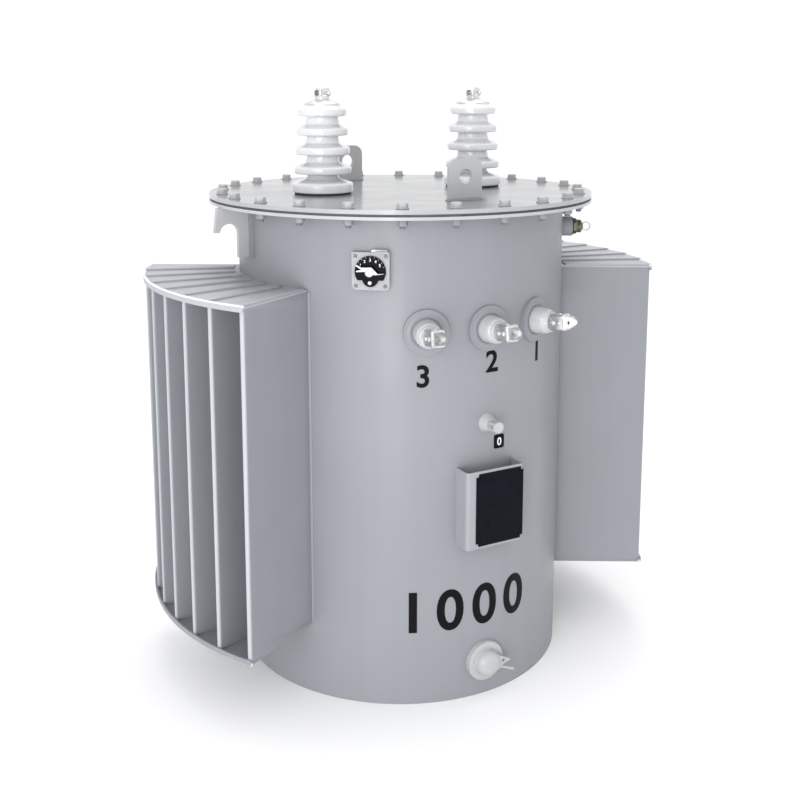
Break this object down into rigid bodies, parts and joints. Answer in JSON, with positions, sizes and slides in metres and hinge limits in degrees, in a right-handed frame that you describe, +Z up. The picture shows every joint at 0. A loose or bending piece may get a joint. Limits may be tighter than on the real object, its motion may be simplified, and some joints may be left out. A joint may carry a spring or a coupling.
{
  "type": "single-phase distribution transformer",
  "caption": "Oil-filled round-tank distribution transformer with bolted cover, porcelain bushings, side fin banks, tap changer and nameplate bracket.",
  "frame": {"origin": "centre of the tank's foot, on the surface it stands on", "axes": "+Z up, -Y towards the front with the low-voltage bushings and the nameplate, +X to the right seen from the front; the high-voltage bushings stand on the X axis"},
  "size_m": [1.1024, 0.883, 1.2265],
  "materials": {
    "tank_paint": "satin light grey paint",
    "cover_paint": "glossy light grey paint",
    "hv_porcelain": "glossy glazed porcelain",
    "lv_porcelain": "glossy glazed porcelain",
    "terminal_metal": "tinned metal",
    "rubber": "matt",
    "dial_plate": "satin",
    "dial_black": "gloss",
    "handle_metal": "cast",
    "nameplate": "gloss black",
    "small_plate": "gloss black",
    "valve_brass": "dark weathered brass"
  },
  "bodies": {
    "tank": {"cover": "cover_paint", "cover_gasket": "rubber", "cover_lug_front": "cover_paint", "cover_lug_rear": "cover_paint", "drain_boss": "tank_paint", "drain_pad": "tank_paint", "ground_boss": "tank_paint", "ground_clamp": "terminal_metal", "hv_porcelain_left": "hv_porcelain", "hv_porcelain_right": "hv_porcelain", "hv_ring_left": "rubber", "hv_ring_right": "rubber", "hv_terminal_left": "terminal_metal", "hv_terminal_right": "terminal_metal", "left_bank_bottom": "tank_paint", "left_bank_top": "tank_paint", "left_fin_1": "tank_paint", "left_fin_2": "tank_paint", "left_fin_3": "tank_paint", "left_fin_4": "tank_paint", "left_fin_5": "tank_paint", "left_fin_6": "tank_paint", "left_fin_7": "tank_paint", "left_fin_8": "tank_paint", "lift_hook_left": "tank_paint", "lift_hook_right": "tank_paint", "lift_pad_left": "tank_paint", "lift_pad_right": "tank_paint", "lv_porcelain_1": "lv_porcelain", "lv_porcelain_2": "lv_porcelain", "lv_porcelain_3": "lv_porcelain", "lv_terminal_1": "terminal_metal", "lv_terminal_2": "terminal_metal", "lv_terminal_3": "terminal_metal", "nameplate": "nameplate", "plate_bracket": "tank_paint", "relief_stub": "tank_paint", "relief_valve": "valve_brass", "right_bank_bottom": "tank_paint", "right_bank_top": "tank_paint", "right_fin_1": "tank_paint", "right_fin_2": "tank_paint", "right_fin_3": "tank_paint", "right_fin_4": "tank_paint", "right_fin_5": "tank_paint", "right_fin_6": "tank_paint", "right_fin_7": "tank_paint", "right_fin_8": "tank_paint", "small_plate": "small_plate", "tank_bottom": "tank_paint", "tank_flange": "tank_paint", "tank_shell": "tank_paint", "tap_dial": "dial_black", "tap_plate": "dial_plate"},
    "handle": {"tap_handle": "handle_metal"}
  },
  "joints": [
    {"name": "tap_turn", "type": "hinge", "parent": "tank", "child": "handle", "pos_m": [-0.21548, -0.2758, 0.884], "axis": [-0.6157, -0.788, 0], "range_deg": [-60, 60]}
  ]
}
